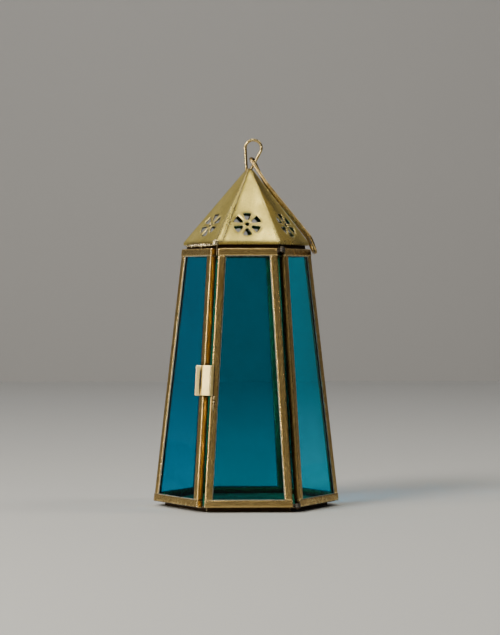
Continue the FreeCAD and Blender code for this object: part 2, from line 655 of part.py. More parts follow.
def make_carrying_ring():
    """A long closed loop of wire, hooked through the eye and lying down the roof's right side."""
    ring = doc.addObject("Part::Fuse", "carrying_ring")
    ring.Label = "carrying_ring"
    ring.Base = sweep_ring_side("RingNearSide", -1)
    ring.Tool = sweep_ring_side("RingFarSide", 1)
    ring.Refine = True
    sub_parts.append(ring)


# --- Door hinge -----------------------------------------------------------------------------

def make_hinge_pin(name, foot, length, head_side):
    """A plain pin on the slanted corner line with a domed head at its outer end."""
    body = new_body(name, right_corner_frame(0))
    profile = new_sketch(body, "Profile", "XZ_Plane")
    head_start = foot + (" + " + length if head_side == "" else "")
    head_end = "%s + %s1 * Size.pin_head_height" % (head_start, head_side)
    head_shoulder = "%s + %s1 * Size.pin_head_rim" % (head_start, head_side)
    other_end = foot if head_side == "" else foot + " + " + length
    draw_outline(profile, [("0", other_end), ("Size.pin_radius", other_end),
                           ("Size.pin_radius", head_start), ("Size.pin_head", head_start),
                           ("Size.pin_head", head_shoulder), ("Size.pin_head_top", head_end),
                           ("0", head_end)])
    spin = body.newObject("PartDesign::Revolution", "Spin")
    spin.Profile = profile
    spin.ReferenceAxis = (profile, ["V_Axis"])
    spin.Angle = 360


def make_hinge():
    """At each end of the front right corner a lug on the frame holds a pin, and an ear on the
    door turns on it. The lugs stand outside the ears, so the door can't lift off."""
    step = "(Size.leaf_sheet + Size.leaf_gap)"
    base = "Size.leaf_gap"
    top = "Derived.corner_length"
    lug_levels = {"bottom": base, "top": top + " - Size.leaf_sheet"}
    ear_levels = {"bottom": base + " + " + step, "top": top + " - Size.leaf_sheet - " + step}
    for end in ("bottom", "top"):
        lug = new_body("hinge_lug_" + end, left_corner_frame(1))
        round_leaf(lug, lug_levels[end], "1")
        drill_leaf(lug, lug_levels[end], "Size.pin_radius")
        ear = new_body("door_ear_" + end, right_corner_frame(0))
        round_leaf(ear, ear_levels[end], "-1")
        drill_leaf(ear, ear_levels[end], "Size.pin_radius + Size.pin_clearance")
    length = "2 * Size.leaf_sheet + 4 * Size.leaf_gap"
    make_hinge_pin("hinge_pin_bottom", base, length, "-")
    make_hinge_pin("hinge_pin_top", top + " - (%s)" % length, length, "")


# --- Latch ----------------------------------------------------------------------------------

def over_left_panel(along, out):
    """A place beside the front left corner: distance along the left panel's face, and out of it."""
    turn = "Derived.corner_turn"
    return ("(-(%s) * cos(%s) - (%s) * sin(%s))" % (along, turn, out, turn),
            "((%s) * sin(%s) - (%s) * cos(%s))" % (along, turn, out, turn))


def step_inward(before, place, after):
    """The latch's inner corner that belongs to the outer corner at place."""
    here = FreeCAD.Vector(number(place[0]), number(place[1]), 0)
    into = (here - FreeCAD.Vector(number(before[0]), number(before[1]), 0)).normalize()
    out_of = (FreeCAD.Vector(number(after[0]), number(after[1]), 0) - here).normalize()
    normal = FreeCAD.Vector(-into.y - out_of.y, into.x + out_of.x, 0).normalize()
    reach = 1 / abs(-into.y * normal.x + into.x * normal.y)
    return ("%s - Size.latch_sheet * (%.6f)" % (place[0], normal.x * reach),
            "%s - Size.latch_sheet * (%.6f)" % (place[1], normal.y * reach))


def make_latch():
    """A bent spring strip. Its foot is soldered to the door's stile, and its leaf folds round
    the corner over the next panel's stile and ends in a flared finger tab."""
    low = "Size.latch_level - Size.latch_height / 2"
    over = "Size.latch_gap + Size.latch_sheet"
    foot_end = ("Size.groove + Size.latch_reach", "-Size.latch_sheet")
    fold = ("Size.groove - Size.latch_fold", "-Size.latch_sheet")
    flat_end = "Size.groove + Size.latch_cover"
    crease_at = flat_end + " + Size.latch_crease"
    crease_level = over + " - Size.latch_dip"
    tab_along = "Size.latch_tab * cos(Size.latch_flare)"
    tab_out = "Size.latch_tab * sin(Size.latch_flare)"
    corner = over_left_panel("Size.groove - Size.latch_bow_inset", over + " + Size.latch_bow")
    edge = over_left_panel(flat_end, over)
    crease = over_left_panel(crease_at, crease_level)
    tab_end = over_left_panel("%s + %s" % (crease_at, tab_along), "%s + %s" % (crease_level, tab_out))
    outer = [foot_end, fold, corner, edge, crease, tab_end]
    inner = [step_inward(*outer[index - 1:index + 2]) for index in range(1, 5)]
    beyond = over_left_panel("%s + 2 * %s" % (crease_at, tab_along),
                             "%s + 2 * %s" % (crease_level, tab_out))
    tab_inner = step_inward(crease, tab_end, beyond)

    leaf = new_body("latch_leaf", left_corner_frame(0))
    section = new_sketch(leaf, "Section", place=frame("0", "0", low))
    draw_outline(section, outer[1:] + [tab_inner] + list(reversed(inner)))
    pad(leaf, "SectionPad", section, "Size.latch_height")

    foot = new_body("latch_foot", left_corner_frame(0))
    section = new_sketch(foot, "Section", place=frame("0", "0", low))
    gap = " + Size.fold_gap"
    draw_outline(section, [(fold[0] + gap, fold[1]), foot_end, (foot_end[0], "0"),
                           (inner[0][0] + gap, "0")])
    pad(foot, "SectionPad", section, "Size.latch_height")


# --- The whole lantern ----------------------------------------------------------------------

PANELS = ["door", "right_front", "right_back", "back", "left_back", "left_front"]

make_foot_rim()
make_floor_plate()
for index, name in enumerate(PANELS):
    make_panel(name, index)
for index in range(1, 5):
    make_corner_seam("corner_seam_%d" % index, index)
make_roof_collar()
make_roof()
make_hanging_eye()
make_carrying_ring()
make_hinge()
make_latch()
doc.recompute()

for thing in doc.Objects:
    if "Invalid" in thing.State or "Error" in thing.State:
        raise RuntimeError("%s did not build: %s" % (thing.Name, thing.State))
for sub_part in sub_parts:
    if sub_part.Shape.isNull() or not sub_part.Shape.isValid():
        raise RuntimeError("%s has no valid shape" % sub_part.Label)

os.makedirs("parts", exist_ok=True)
for sub_part in sub_parts:
    sub_part.Shape.exportStep("parts/%s.step" % sub_part.Label)
print("%d sub-parts written" % len(sub_parts))
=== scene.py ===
"""A hexagonal brass lantern with teal glass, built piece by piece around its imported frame.

Lengths are in metres. +Z is up and the door faces -Y.
"""

import json
import math

import bmesh
import bpy
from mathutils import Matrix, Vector, noise


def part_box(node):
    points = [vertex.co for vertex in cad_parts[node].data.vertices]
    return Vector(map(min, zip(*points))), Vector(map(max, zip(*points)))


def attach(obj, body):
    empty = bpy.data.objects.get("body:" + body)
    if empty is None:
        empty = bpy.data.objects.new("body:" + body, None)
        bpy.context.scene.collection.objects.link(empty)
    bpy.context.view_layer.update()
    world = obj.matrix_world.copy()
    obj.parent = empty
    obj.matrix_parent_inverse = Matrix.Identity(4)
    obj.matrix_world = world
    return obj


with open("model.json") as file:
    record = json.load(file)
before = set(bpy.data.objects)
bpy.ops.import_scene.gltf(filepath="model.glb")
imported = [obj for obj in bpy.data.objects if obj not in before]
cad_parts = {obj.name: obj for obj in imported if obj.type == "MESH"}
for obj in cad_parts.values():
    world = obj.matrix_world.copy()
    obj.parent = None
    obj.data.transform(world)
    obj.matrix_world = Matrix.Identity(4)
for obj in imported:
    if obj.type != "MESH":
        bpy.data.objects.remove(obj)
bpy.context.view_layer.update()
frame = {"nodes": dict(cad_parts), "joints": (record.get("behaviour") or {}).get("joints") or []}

# --- Floor plate and foot rim -------------------------------------------------------------
# The lantern stands on a strip of brass bent into a hexagon. The floor is a flat plate soldered
# on top of it. Both are thin rolled sheet, seldom cleaned, so they are dull and brown.

MM = 0.001


def add(tree, kind, inputs=None, **settings):
    """One shader node. Inputs are values, or sockets to link, by input name or number."""
    made = tree.nodes.new(kind)
    for name, value in settings.items():
        setattr(made, name, value)
    for name, value in (inputs or {}).items():
        if isinstance(value, bpy.types.NodeSocket):
            tree.links.new(value, made.inputs[name])
        else:
            made.inputs[name].default_value = value
    return made


def new_group(name, inputs, outputs):
    """An empty shader node group. Inputs are (name, type, default), outputs (name, type)."""
    tree = bpy.data.node_groups.new(name, "ShaderNodeTree")
    for label, kind, default in inputs:
        socket = tree.interface.new_socket(label, in_out="INPUT", socket_type="NodeSocket" + kind)
        socket.default_value = default
    for label, kind in outputs:
        tree.interface.new_socket(label, in_out="OUTPUT", socket_type="NodeSocket" + kind)
    return tree, tree.nodes.new("NodeGroupInput").outputs, tree.nodes.new("NodeGroupOutput")


def worn_and_highlit_edges_group():
    """A mask of the sharp edges that hands and cloths rub bright, where a highlight is also painted, broken
    up by noise.
    """
    tree, given, result = new_group(
        "worn and highlit edges", [("Width", "Float", 0.5 * MM), ("Break Up", "Float", 900.0)], [("Mask", "Float")])
    place = add(tree, "ShaderNodeTexCoord").outputs["Object"]
    soft = add(tree, "ShaderNodeBevel", {"Radius": given["Width"]}, samples=6)
    true = add(tree, "ShaderNodeNewGeometry")
    same = add(tree, "ShaderNodeVectorMath", {0: soft.outputs["Normal"], 1: true.outputs["Normal"]},
               operation="DOT_PRODUCT")
    edge = add(tree, "ShaderNodeMapRange", {"Value": same.outputs["Value"], "From Min": 0.995,
                                            "From Max": 0.90, "To Min": 0.0, "To Max": 1.0})
    rough = add(tree, "ShaderNodeTexNoise", {"Vector": place, "Scale": given["Break Up"], "Detail": 4.0})
    kept = add(tree, "ShaderNodeMapRange", {"Value": rough.outputs["Fac"], "From Min": 0.35,
                                            "From Max": 0.6})
    both = add(tree, "ShaderNodeMath", {0: edge.outputs["Result"], 1: kept.outputs["Result"]},
               operation="MULTIPLY")
    tree.links.new(both.outputs[0], result.inputs["Mask"])
    return tree


def crevice_group():
    """A mask of the corners and slots where polish and dirt have gathered, which also paints shade into
    them.
    """
    tree, given, result = new_group("crevices", [("Reach", "Float", 2.5 * MM)], [("Mask", "Float")])
    # Ambient occlusion darkens the corners, both as dirt and as painted shade.
    near = add(tree, "ShaderNodeAmbientOcclusion", {"Distance": given["Reach"]}, samples=6)
    dark = add(tree, "ShaderNodeMapRange", {"Value": near.outputs["AO"], "From Min": 0.94, "From Max": 0.62})
    tree.links.new(dark.outputs["Result"], result.inputs["Mask"])
    return tree


# This dark tone is dirt in the corners and painted shade there.
DIRT_AND_SHADE_TONE = (0.035, 0.018, 0.006, 1)
# This bright tone is worn brass and a painted highlight in one.
RUBBED_AND_HIGHLIGHT_TONE = (0.95, 0.80, 0.52, 1)


def aged_brass_group():
    """Brass that has dulled in patches. Streaks follow the way that the sheet was drawn."""
    tree, given, result = new_group(
        "aged brass",
        [("Place", "Vector", (0, 0, 0)), ("Clean", "Color", (0.72, 0.52, 0.24, 1)),
         ("Dull", "Color", (0.35, 0.22, 0.09, 1)), ("Patch Scale", "Float", 60.0),
         ("Grain Scale", "Float", 900.0), ("Dulling", "Float", 0.5), ("Polish", "Float", 0.3),
         ("Edge", "Float", 0.0), ("Dirt And Shade", "Float", 0.0)],
        [("Color", "Color"), ("Roughness", "Float"), ("Height", "Float")])
    patch = add(tree, "ShaderNodeTexNoise", {"Vector": given["Place"], "Scale": given["Patch Scale"],
                                             "Detail": 6.0, "Roughness": 0.62})
    grain = add(tree, "ShaderNodeTexNoise", {"Vector": given["Place"], "Scale": given["Grain Scale"],
                                             "Detail": 3.0, "Roughness": 0.5})
    spread = add(tree, "ShaderNodeMapRange", {"Value": patch.outputs["Fac"], "From Min": 0.36,
                                              "From Max": 0.66})
    dulling = add(tree, "ShaderNodeMath", {0: spread.outputs["Result"], 1: given["Dulling"]},
                  operation="MULTIPLY")
    bare = add(tree, "ShaderNodeMath", {0: 1.0, 1: given["Edge"]}, operation="SUBTRACT")
    dulled = add(tree, "ShaderNodeMath", {0: dulling.outputs[0], 1: bare.outputs[0]}, operation="MULTIPLY")
    colour = add(tree, "ShaderNodeMix", {"Factor": dulled.outputs[0], 6: given["Clean"], 7: given["Dull"]},
                 data_type="RGBA")
    speck = add(tree, "ShaderNodeMapRange", {"Value": grain.outputs["Fac"], "From Min": 0.3, "From Max": 0.7,
                                             "To Min": 0.86, "To Max": 1.1})
    tinted = add(tree, "ShaderNodeMix", {"Factor": 1.0, 6: colour.outputs[2], 7: speck.outputs["Result"]},
                 data_type="RGBA", blend_type="MULTIPLY")
    rough = add(tree, "ShaderNodeMath", {0: dulled.outputs[0], 1: 0.2, 2: given["Polish"]},
                operation="MULTIPLY_ADD")
    fine = add(tree, "ShaderNodeMath", {0: grain.outputs["Fac"], 1: 0.16, 2: rough.outputs[0]},
               operation="MULTIPLY_ADD")
    height = add(tree, "ShaderNodeMath", {0: patch.outputs["Fac"], 1: 3.0, 2: grain.outputs["Fac"]},
                 operation="MULTIPLY_ADD")
    # Corners are darkened towards the dark tone, both as dirt and as painted shade.
    dirt_and_shade = add(tree, "ShaderNodeMix", {"Factor": given["Dirt And Shade"], 6: tinted.outputs[2],
                                        7: DIRT_AND_SHADE_TONE}, data_type="RGBA")
    # Edges are lightened towards the bright tone, both as wear and as a painted highlight.
    rubbed_and_highlit = add(tree, "ShaderNodeMix", {"Factor": given["Edge"], 6: dirt_and_shade.outputs[2],
                                         7: RUBBED_AND_HIGHLIGHT_TONE}, data_type="RGBA")
    tree.links.new(rubbed_and_highlit.outputs[2], result.inputs["Color"])
    tree.links.new(fine.outputs[0], result.inputs["Roughness"])
    tree.links.new(height.outputs[0], result.inputs["Height"])
    return tree


WORN_AND_HIGHLIT_EDGES = worn_and_highlit_edges_group()
CREVICES = crevice_group()
AGED_BRASS = aged_brass_group()
DENT_RELIEF = 4


def brass(name, clean, dull, dulling, polish, stretch=(1, 1, 1), turn=(0, 0, 0), patch=60.0, grain=900.0,
          edge_width=0.5 * MM, bump=0.05 * MM, dent=0.15 * MM, dent_scale=45.0, dirt_and_shade_reach=5.0 * MM,
          roundness=0.7 * MM):
    """A metal finish in a clean and a dull tone: worn bright at its edges with a painted highlight there,
    and dirty and painted with shade in its corners.

    Stretch and turn lay the streaks along the piece. Dent is the depth of the hand marks, the corner reach
    is how far dirt and painted shade spread out of a corner, and roundness is the radius of the softened
    bends.
    """
    made = bpy.data.materials.new(name)
    made.use_nodes = True
    tree = made.node_tree
    shader = tree.nodes["Principled BSDF"]
    place = add(tree, "ShaderNodeTexCoord").outputs["Object"]
    turned = add(tree, "ShaderNodeMapping", {"Vector": place, "Rotation": turn, "Scale": stretch})
    edge = add(tree, "ShaderNodeGroup", {}, node_tree=WORN_AND_HIGHLIT_EDGES)
    edge.inputs["Width"].default_value = edge_width
    finish = add(tree, "ShaderNodeGroup", {}, node_tree=AGED_BRASS)
    for label, value in [("Clean", (*clean, 1)), ("Dull", (*dull, 1)), ("Patch Scale", patch),
                         ("Grain Scale", grain), ("Dulling", dulling), ("Polish", polish)]:
        finish.inputs[label].default_value = value
    tree.links.new(turned.outputs["Vector"], finish.inputs["Place"])
    tree.links.new(edge.outputs["Mask"], finish.inputs["Edge"])
    # The corner mask adds dirt and painted shade.
    crevice = add(tree, "ShaderNodeGroup", {}, node_tree=CREVICES)
    crevice.inputs["Reach"].default_value = dirt_and_shade_reach
    tree.links.new(crevice.outputs["Mask"], finish.inputs["Dirt And Shade"])
    soft = add(tree, "ShaderNodeBevel", {"Radius": roundness}, samples=8)
    beaten = add(tree, "ShaderNodeTexNoise", {"Vector": turned.outputs["Vector"], "Scale": dent_scale,
                                              "Detail": 1.0})
    dents = add(tree, "ShaderNodeBump", {"Height": beaten.outputs["Fac"], "Distance": dent * DENT_RELIEF,
                                         "Normal": soft.outputs["Normal"]})
    relief = add(tree, "ShaderNodeBump", {"Height": finish.outputs["Height"], "Distance": bump,
                                          "Strength": 0.6, "Normal": dents.outputs["Normal"]})
    shader.inputs["Metallic"].default_value = 1.0
    tree.links.new(finish.outputs["Color"], shader.inputs["Base Color"])
    tree.links.new(finish.outputs["Roughness"], shader.inputs["Roughness"])
    tree.links.new(relief.outputs["Normal"], shader.inputs["Normal"])
    return made


def dress(node, material):
    """Give a CAD node's object its finish."""
    thing = frame["nodes"][node]
    for slot in thing.material_slots:
        slot.material = material


SHEET_CLEAN = (0.55, 0.40, 0.17)
SHEET_DULL = (0.20, 0.12, 0.05)
sheet_finish = brass("dull sheet brass", SHEET_CLEAN, SHEET_DULL, 0.8, 0.38)
for node in ("foot_rim", "floor_plate"):
    dress(node, sheet_finish)

# --- Channels -----------------------------------------------------------------------------
# Each panel is framed by four folded brass channels, drawn through a die and soldered at the corners.
# Streaks run along each channel, its flats are brown, its bends are worn bright with a painted highlight,
# and its grooves hold dirt and painted shade.

PANELS = ["door", "right_front", "right_back", "back", "left_back", "left_front"]
CHANNEL_CLEAN = (0.82, 0.58, 0.21)
CHANNEL_DULL = (0.25, 0.14, 0.035)

for index, panel in enumerate(PANELS):
    facing = (0, 0, -math.radians(60 * index))
    along_stile = (1, 1, 0.05)
    along_rail = (0.05, 1, 1)
    for kind, stretch, polish, ends in [("stile", along_stile, 0.12, ("left", "right")),
                                        ("rail", along_rail, 0.13, ("bottom", "top"))]:
        channel_finish = brass("%s brass %d" % (kind, index), CHANNEL_CLEAN, CHANNEL_DULL, 0.8, polish,
                               stretch, facing, patch=420.0, grain=1800.0, edge_width=0.7 * MM,
                               bump=0.03 * MM, dent=0.03 * MM, roundness=1.5 * MM)
        for end in ends:
            dress("%s_%s_%s" % (panel, kind, end), channel_finish)

# --- Glass --------------------------------------------------------------------------------
# The panes are 3 mm sea-green glass, cut to the taper and slid into the channels. The glass is a little
# wavy, with small seeds in it, and its tint varies a little across each sheet. The side panes carry lighter
# tints that paint in the light falling through them, and the right pair is lightest.

# The door and back panes carry the plain tint. The lighter left and right tints are painted light, and the
# right one is lightest.
FRONT_BACK_TINT = (0.0004, 0.44, 0.56)
LEFT_LIT_TINT = (0.0006, 0.50, 0.68)
RIGHT_LIT_TINT = (0.0012, 0.62, 0.76)
PALE_SHARE = 1.2


def glass_finish(name, tint_colour):
    """Clear coloured glass that lets tinted light through to what is behind it."""
    made = bpy.data.materials.new(name)
    made.use_nodes = True
    tree = made.node_tree
    shader = tree.nodes["Principled BSDF"]
    place = add(tree, "ShaderNodeTexCoord").outputs["Object"]
    wave = add(tree, "ShaderNodeTexNoise", {"Vector": place, "Scale": 22.0, "Detail": 2.0})
    seed = add(tree, "ShaderNodeTexVoronoi", {"Vector": place, "Scale": 230.0}, feature="F1")
    spot = add(tree, "ShaderNodeMapRange", {"Value": seed.outputs["Distance"], "From Min": 0.05,
                                            "From Max": 0.16, "To Min": 1.0, "To Max": 0.0})
    height = add(tree, "ShaderNodeMath", {0: spot.outputs["Result"], 1: 0.10, 2: wave.outputs["Fac"]},
                 operation="MULTIPLY_ADD")
    relief = add(tree, "ShaderNodeBump", {"Height": height.outputs[0], "Distance": 0.5 * MM,
                                          "Strength": 0.25})
    cloud = add(tree, "ShaderNodeTexNoise", {"Vector": place, "Scale": 35.0, "Detail": 3.0})
    pale_colour = [PALE_SHARE * value for value in tint_colour]
    tint = add(tree, "ShaderNodeMix", {"Factor": cloud.outputs["Fac"], 6: (*tint_colour, 1),
                                       7: (*pale_colour, 1)}, data_type="RGBA")
    shader.inputs["Transmission Weight"].default_value = 1.0
    shader.inputs["IOR"].default_value = 1.36
    shader.inputs["Roughness"].default_value = 0.03
    tree.links.new(tint.outputs[2], shader.inputs["Base Color"])
    tree.links.new(relief.outputs["Normal"], shader.inputs["Normal"])
    clear = add(tree, "ShaderNodeBsdfTransparent", {"Color": tint.outputs[2]})
    ray = add(tree, "ShaderNodeLightPath")
    mixed = add(tree, "ShaderNodeMixShader", {0: ray.outputs["Is Shadow Ray"], 1: shader.outputs["BSDF"],
                                              2: clear.outputs["BSDF"]})
    tree.links.new(mixed.outputs[0], tree.nodes["Material Output"].inputs["Surface"])
    return made


# Each pair of panes gets its own tint, which paints the light on the sides.
for name, tint_colour, panels in [("front and back pane teal", FRONT_BACK_TINT, ("door", "back")),
                                  ("teal glass", LEFT_LIT_TINT, ("left_front", "left_back")),
                                  ("right pane teal, painted lit", RIGHT_LIT_TINT, ("right_front", "right_back"))]:
    pane_finish = glass_finish(name, tint_colour)
    for panel in panels:
        dress(panel + "_glass", pane_finish)

# --- Putty --------------------------------------------------------------------------------
# A thin line of grey putty holds each pane in its four channels and shows around its edge. It
# was pressed in with a finger, so it is uneven and dull.

PUTTY_SIZE = 0.3 * MM
PUTTY_STEP = 1.2 * MM
VISIBLE_INSET = 4.1 * MM


def finished(name, mesh, body, finish):
    """Turn a drawn mesh into a smooth piece that rides on a body."""
    for face in mesh.faces:
        face.smooth = True
    shape = bpy.data.meshes.new(name)
    mesh.to_mesh(shape)
    mesh.free()
    piece = bpy.data.objects.new(name, shape)
    bpy.context.collection.objects.link(piece)
    shape.materials.append(finish)
    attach(piece, body)
    return piece


def rough_bead(name, points, radius, lumpiness, body, finish, closed=False, sides=10):
    """A run of solder or putty, or a bead of painted shade, along a line of points, thicker and thinner as
    it was laid.
    """
    mesh = bmesh.new()
    rings = []
    count = len(points)
    for index, point in enumerate(points):
        after = points[(index + 1) % count] if closed or index < count - 1 else point
        before = points[index - 1] if closed or index > 0 else point
        along = (after - before).normalized()
        aside = along.cross(Vector((0, 0, 1)))
        aside = (aside if aside.length > 0.1 else along.cross(Vector((0, 1, 0)))).normalized()
        above = aside.cross(along)
        swell = 1 + lumpiness * noise.noise(point * 900)
        if not closed:
            swell *= min(1.0, 0.35 + 3.0 * min(index, count - 1 - index) / count)
        ring = []
        for side in range(sides):
            turn = 2 * math.pi * side / sides
            spot = point + (aside * math.cos(turn) + above * math.sin(turn)) * radius * swell
            spot += noise.noise_vector(spot * 2600) * radius * lumpiness * 0.8
            ring.append(mesh.verts.new(spot))
        rings.append(ring)
    for index in range(count if closed else count - 1):
        ring, following = rings[index], rings[(index + 1) % count]
        for side in range(sides):
            mesh.faces.new((ring[side], ring[(side + 1) % sides], following[(side + 1) % sides],
                            following[side]))
    if not closed:
        mesh.faces.new(list(reversed(rings[0])))
        mesh.faces.new(rings[-1])
    bmesh.ops.recalc_face_normals(mesh, faces=mesh.faces)
    return finished(name, mesh, body, finish)


def pane_face(node, outward):
    """The corners of a pane's outer face, in order around it."""
    mesh = frame["nodes"][node].data
    facing = [face for face in mesh.polygons if face.normal.dot(outward) > 0.9]
    normal = facing[0].normal.copy()
    spots = {tuple(round(value, 6) for value in mesh.vertices[index].co)
             for face in facing for index in face.vertices}
    corners = [Vector(spot) for spot in spots]
    middle = sum(corners, Vector()) / len(corners)
    aside = Vector((0, 0, 1)).cross(normal).normalized()
    above = normal.cross(aside)
    corners.sort(key=lambda corner: math.atan2((corner - middle).dot(above), (corner - middle).dot(aside)))
    return corners, normal


def inset_loop(corners, normal, inset, step):
    """Points along a loop that runs inside the corners at an even inset."""
    count = len(corners)
    lines = []
    for index in range(count):
        along = (corners[(index + 1) % count] - corners[index]).normalized()
        lines.append((corners[index] + normal.cross(along) * inset, along))
    turns = []
    for index in range(count):
        start, along = lines[index - 1]
        other, across = lines[index]
        inward = normal.cross(across)
        turns.append(start + along * ((other - start).dot(inward) / along.dot(inward)))
    points = []
    for index in range(count):
        run = turns[(index + 1) % count] - turns[index]
        pieces = max(2, int(run.length / step))
        points += [turns[index] + run * part / pieces for part in range(pieces)]
    return points


def rough_finish(name, scale, detail, dark, light, metallic, roughness, relief):
    """A lumpy finish for what was melted, pressed or smeared into place, and for painted shade."""
    made = bpy.data.materials.new(name)
    made.use_nodes = True
    tree = made.node_tree
    shader = tree.nodes["Principled BSDF"]
    place = add(tree, "ShaderNodeTexCoord").outputs["Object"]
    lump = add(tree, "ShaderNodeTexNoise", {"Vector": place, "Scale": scale, "Detail": detail})
    shade = add(tree, "ShaderNodeMix", {"Factor": lump.outputs["Fac"], 6: (*dark, 1), 7: (*light, 1)},
                data_type="RGBA")
    bump = add(tree, "ShaderNodeBump", {"Height": lump.outputs["Fac"], "Distance": relief})
    shader.inputs["Metallic"].default_value = metallic
    shader.inputs["Roughness"].default_value = roughness
    tree.links.new(shade.outputs[2], shader.inputs["Base Color"])
    tree.links.new(bump.outputs["Normal"], shader.inputs["Normal"])
    return made


putty_finish = rough_finish("grey putty", 600.0, 4.0, (0.10, 0.11, 0.09), (0.42, 0.44, 0.38),
                            metallic=0.0, roughness=0.8, relief=0.2 * MM)
for index, panel in enumerate(PANELS):
    turn = math.radians(60 * index)
    corners, normal = pane_face(panel + "_glass", Vector((math.sin(turn), -math.cos(turn), 0)))
    line = inset_loop(corners, normal, VISIBLE_INSET, PUTTY_STEP)
    body = "door" if panel == "door" else "frame"
    rough_bead(panel + "_putty", line, PUTTY_SIZE, 0.6, body, putty_finish, closed=True, sides=6)

# --- Corner solder ------------------------------------------------------------------------
# The five fixed panels are joined by solder run into the grooves between them with an iron. It
# was left as it froze, bright on its lumps and brown with flux between them.

solder = rough_finish("rough solder", 700.0, 5.0, (0.30, 0.20, 0.08), (0.98, 0.88, 0.58),
                      metallic=1.0, roughness=0.25, relief=0.9 * MM)
for index in range(1, 5):
    dress("corner_seam_%d" % index, solder)

# --- Collar and roof ----------------------------------------------------------------------
# The collar is a strip of sheet behind the top rails, brown with candle soot. The roof is one
# sheet of brass, pierced and folded by hand, with soft ridges and shallow hand marks.

dress("roof_collar", brass("sooty brass", (0.20, 0.13, 0.06), (0.05, 0.03, 0.015), 0.8, 0.45))
ROOF_CLEAN = (0.86, 0.69, 0.19)
ROOF_DULL = (0.46, 0.35, 0.07)
# On the roof the corner mask reaches 60 mm, so it paints broad shade over the faces, not only dirt in the
# corners.
# The wide edge mask on the roof paints a highlight along the ridges as well as wear.
dress("roof", brass("roof brass", ROOF_CLEAN, ROOF_DULL, 0.6, 0.18, (1, 1, 0.4), patch=55.0,
                    grain=1200.0, edge_width=0.9 * MM, dent=2.4 * MM, dent_scale=16.0,
                    dirt_and_shade_reach=60.0 * MM, roundness=2.6 * MM))

# --- Solder on the roof -------------------------------------------------------------------
# The roof was fixed with an iron by hand: a run of solder under the left eave, a blob on its
# front left corner, and a cone of it around the wires in the cut tip.

roof_low, roof_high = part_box("roof")
EAVE_RADIUS = roof_high[0]
LIP_HEIGHT = 2.0 * MM
EAVE_LEVEL = roof_low[2] + LIP_HEIGHT


def blob(name, middle, size, lumpiness, body, finish, seed=0):
    """A lump of solder as it froze: rounded, uneven and a little sunk."""
    mesh = bmesh.new()
    bmesh.ops.create_icosphere(mesh, subdivisions=4, radius=1.0)
    for corner in mesh.verts:
        push = 1 + lumpiness * noise.fractal(corner.co * 1.6 + Vector((seed, 0, 0)), 1.0, 2.0, 4)
        corner.co = Vector((corner.co.x * size[0], corner.co.y * size[1], corner.co.z * size[2])) * push
        corner.co += Vector(middle)
    return finished(name, mesh, body, finish)


def stretch_points(start, end, count):
    """Evenly spaced points from a start to an end."""
    return [Vector(start).lerp(Vector(end), step / (count - 1)) for step in range(count)]


front_corner = Vector((-EAVE_RADIUS / 2, -EAVE_RADIUS * math.cos(math.radians(30)), EAVE_LEVEL))
left_corner = Vector((-EAVE_RADIUS, 0, EAVE_LEVEL))
UNDER_EAVE = Vector((-0.25, -0.15, -2.3)) * MM
eave_run = stretch_points(front_corner.lerp(left_corner, 0.06) + UNDER_EAVE,
                          front_corner.lerp(left_corner, 0.9) + UNDER_EAVE, 160)
rough_bead("eave_solder", eave_run, 1.1 * MM, 0.7, "frame", solder)
blob("corner_solder", front_corner + Vector((-0.3, 0.1, -0.9)) * MM, Vector((2.0, 1.3, 2.1)) * MM,
     0.35, "frame", solder, seed=3)
brass_solder = brass("solder over brass", (0.78, 0.62, 0.30), (0.40, 0.28, 0.10), 0.6, 0.25, patch=500.0)
TIP_MIDDLE = Vector((1.9 * MM, 0, roof_high[2] - 0.9 * MM))
blob("tip_solder", TIP_MIDDLE, Vector((2.5, 1.9, 1.7)) * MM, 0.25, "frame", brass_solder, seed=7)

# --- Hanging eye and carrying ring --------------------------------------------------------
# Both are 2 mm brass wire bent over a former. The eye is brighter, and the ring has browned
# where it lies against the roof. The eye's legs go down through the cut tip.

wire_finish = brass("drawn wire", (0.88, 0.70, 0.34), (0.34, 0.22, 0.07), 0.7, 0.12, patch=220.0,
                    grain=2500.0, edge_width=0.2 * MM, bump=0.02 * MM, dent=0.01 * MM)
dress("hanging_eye", wire_finish)
dress("carrying_ring", brass("worn ring wire", (0.66, 0.47, 0.19), (0.20, 0.12, 0.035), 0.9, 0.14,
                             patch=260.0, grain=2500.0, edge_width=0.05 * MM, bump=0.02 * MM,
                             dent=0.01 * MM))

# --- Door hinge ---------------------------------------------------------------------------
# Small lugs, ears and pins of dark steel stand at both ends of the door's right edge. They were
# cut from sheet and wire, soldered on, and never polished.

steel = brass("dark steel", (0.11, 0.10, 0.09), (0.04, 0.035, 0.03), 0.7, 0.4, patch=300.0,
              grain=3000.0, edge_width=0.02 * MM, bump=0.02 * MM)
for node in ("hinge_lug_bottom", "hinge_lug_top", "hinge_pin_bottom", "hinge_pin_top",
             "door_ear_bottom", "door_ear_top"):
    dress(node, steel)

# --- Latch --------------------------------------------------------------------------------
# One bent leaf of springy brass, soldered to the door by a narrow foot, grips the next panel's channel.
# Fingers keep it bright, and a near-black bead laid in the crease beside its tab is painted shade.

latch_finish = brass("handled brass", (0.92, 0.74, 0.30), (0.66, 0.48, 0.16), 0.5, 0.2, patch=160.0,
                     grain=2000.0, edge_width=0.6 * MM, dirt_and_shade_reach=1.2 * MM)
for node in ("latch_leaf", "latch_foot"):
    dress(node, latch_finish)

